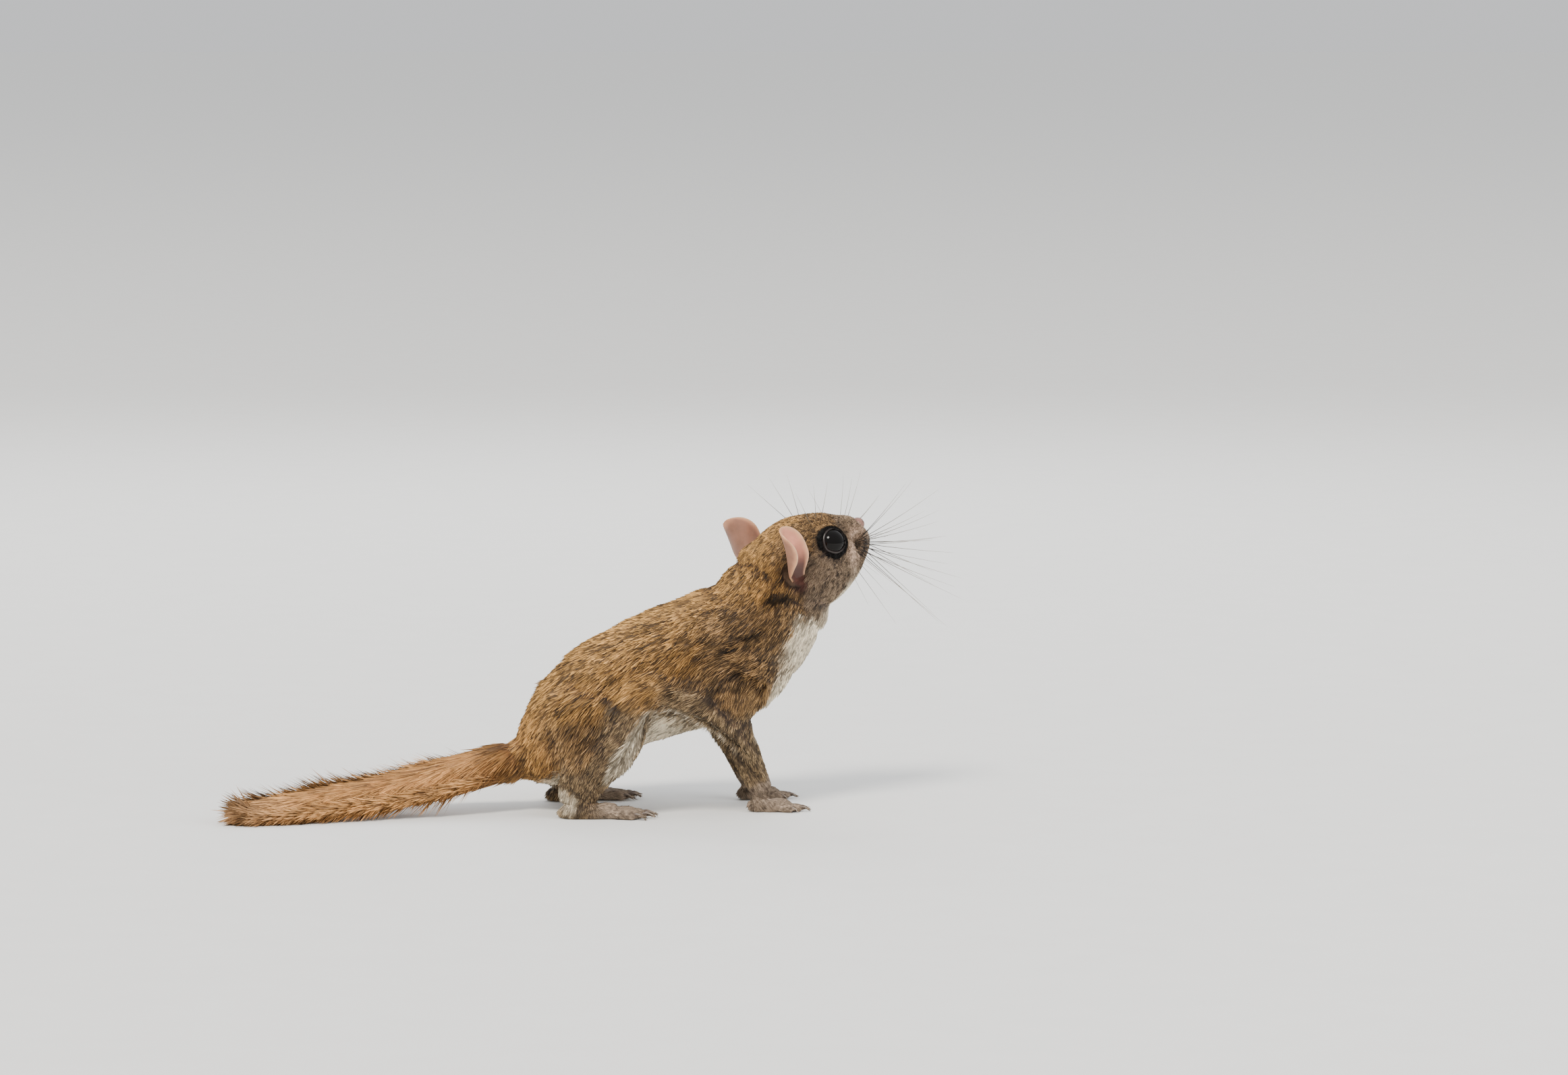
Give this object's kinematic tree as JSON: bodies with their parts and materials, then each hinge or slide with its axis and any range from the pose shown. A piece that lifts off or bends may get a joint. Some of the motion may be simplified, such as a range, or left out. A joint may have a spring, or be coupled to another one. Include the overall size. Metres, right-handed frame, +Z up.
{
  "type": "flying squirrel model",
  "caption": "Life-size still model of a small flying squirrel, crouched on its hind feet and raised on its forelegs, looking up, flat tail laid behind.",
  "frame": {"origin": "on the floor under the middle of the whole animal's box", "axes": "+X from tail to nose, +Y to the animal's left, +Z up from the floor"},
  "size_m": [0.2154, 0.0856, 0.0963],
  "materials": {
    "back_fur": "golden-brown short fur over slate underfur",
    "face_fur": "grizzled grey-brown short fur",
    "membrane_fur": "grey-brown fur with a cream edge",
    "tail_fur": "warm buff, soft, combed flat to both sides",
    "foot_skin": "grey-brown skin with fine short hair",
    "ear_skin": "thin bare pinkish skin",
    "nose_skin": "moist pink-brown skin",
    "eye_gloss": "wet black gloss",
    "whisker": "stiff, dark at the root and pale at the tip"
  },
  "bodies": {
    "root": {"head": "face_fur", "neck": "back_fur", "torso": "back_fur", "nose": "nose_skin", "eye_right": "eye_gloss", "eye_left": "eye_gloss", "ear_right": "ear_skin", "ear_left": "ear_skin", "whiskers_right": "whisker", "whiskers_left": "whisker", "thigh_right": "back_fur", "thigh_left": "back_fur", "shin_right": "back_fur", "shin_left": "back_fur", "hind_foot_right": "foot_skin", "hind_foot_left": "foot_skin", "foreleg_right": "back_fur", "foreleg_left": "back_fur", "forefoot_right": "foot_skin", "forefoot_left": "foot_skin", "gliding_membrane_right": "membrane_fur", "gliding_membrane_left": "membrane_fur", "tail": "tail_fur"}
  },
  "joints": []
}
